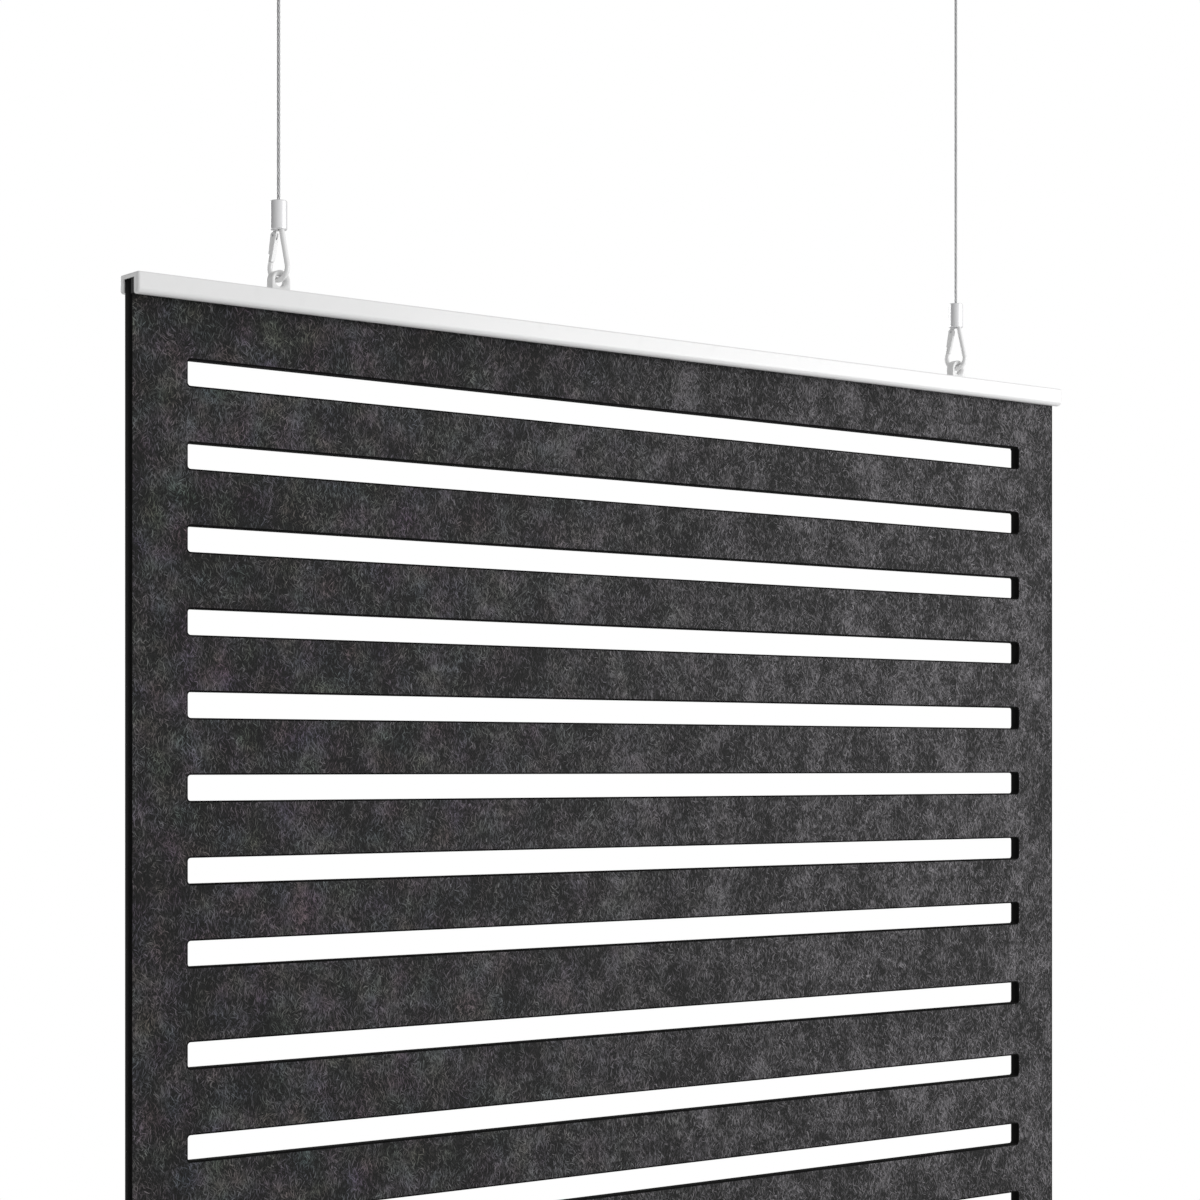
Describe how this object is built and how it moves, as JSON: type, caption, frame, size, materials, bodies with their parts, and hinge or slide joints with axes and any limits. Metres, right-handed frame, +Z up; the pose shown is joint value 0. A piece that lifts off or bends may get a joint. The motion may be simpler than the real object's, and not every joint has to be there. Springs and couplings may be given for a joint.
{
  "type": "hanging slotted felt screen",
  "caption": "Hanging acoustic felt screen cut with long slots, clamped in a white rail whose eyes hang from snap hooks on wire ropes with ceiling fittings",
  "frame": {"origin": "on the ceiling plane, midway between the two ceiling fittings' screw holes", "axes": "+Z up out of the ceiling fittings, +X along the rail to the right seen from the front, -Y towards the front"},
  "size_m": [1.202, 0.0345, 2.28],
  "materials": {
    "felt": "charcoal heathered pressed felt, matt",
    "strip": "black rubber, matt",
    "rail": "white powder coat, satin",
    "lug": "white powder coat, satin",
    "hook": "white enamel, glossy",
    "fitting": "white powder coat, satin",
    "ferrule": "polished aluminium",
    "rope": "bright twisted wire rope",
    "steel": "zinc-plated steel"
  },
  "bodies": {
    "ceiling": {"ceiling_base_left": "fitting", "ceiling_base_right": "fitting", "ceiling_cap_left": "fitting", "ceiling_cap_right": "fitting"},
    "left_stop": {"rope_stop_left": "steel"},
    "left_rope": {"wire_rope_left": "rope"},
    "left_hook": {"ferrule_left": "ferrule", "hook_body_left": "hook", "gate_pin_left": "steel"},
    "left_gate": {"hook_gate_left": "hook", "gate_spring_left": "steel"},
    "right_stop": {"rope_stop_right": "steel"},
    "right_rope": {"wire_rope_right": "rope"},
    "right_hook": {"ferrule_right": "ferrule", "hook_body_right": "hook", "gate_pin_right": "steel"},
    "right_gate": {"hook_gate_right": "hook", "gate_spring_right": "steel"},
    "screen": {"rail": "rail", "felt_panel": "felt", "packing_strip": "strip", "felt_screws": "steel", "eye_lug_left": "lug", "eye_lug_right": "lug", "lug_washers": "steel", "lug_nuts": "steel"}
  },
  "joints": [
    {"name": "left_swing", "type": "hinge", "parent": "ceiling", "child": "left_stop", "pos_m": [-0.445, 0, -0.018], "axis": [1, 0, 0], "range_deg": [-10, 10]},
    {"name": "left_sway", "type": "hinge", "parent": "left_stop", "child": "left_rope", "pos_m": [-0.445, 0, -0.018], "axis": [0, 1, 0], "range_deg": [-8, 8]},
    {"name": "left_level", "type": "hinge", "parent": "left_rope", "child": "left_hook", "pos_m": [-0.445, 0, -0.3979], "axis": [0, 1, 0], "range_deg": [-8, 8]},
    {"name": "left_gate_hinge", "type": "hinge", "parent": "left_hook", "child": "left_gate", "pos_m": [-0.44638, 0.00481, -0.4267], "axis": [-0.9613, -0.2756, 0], "range_deg": [0, 25], "stiffness_Nm_per_rad": 0.02, "springref_deg": -22.92},
    {"name": "right_swing", "type": "hinge", "parent": "ceiling", "child": "right_stop", "pos_m": [0.445, 0, -0.018], "axis": [1, 0, 0], "range_deg": [-10, 10]},
    {"name": "right_sway", "type": "hinge", "parent": "right_stop", "child": "right_rope", "pos_m": [0.445, 0, -0.018], "axis": [0, 1, 0], "range_deg": [-8, 8]},
    {"name": "right_level", "type": "hinge", "parent": "right_rope", "child": "right_hook", "pos_m": [0.445, 0, -0.3979], "axis": [0, 1, 0], "range_deg": [-8, 8]},
    {"name": "right_gate_hinge", "type": "hinge", "parent": "right_hook", "child": "right_gate", "pos_m": [0.44329, 0.0047, -0.4267], "axis": [-0.9397, -0.342, 0], "range_deg": [0, 25], "stiffness_Nm_per_rad": 0.02, "springref_deg": -22.92},
    {"name": "screen_tilt", "type": "hinge", "parent": "left_hook", "child": "screen", "pos_m": [-0.445, 0, -0.4571], "axis": [1, 0, 0], "range_deg": [-6, 6]}
  ],
  "couplings": [
    {"joint": "left_level", "follows": "left_sway", "ratio": -1},
    {"joint": "right_swing", "follows": "left_swing", "ratio": 1},
    {"joint": "right_sway", "follows": "left_sway", "ratio": 1},
    {"joint": "right_level", "follows": "left_sway", "ratio": -1}
  ]
}
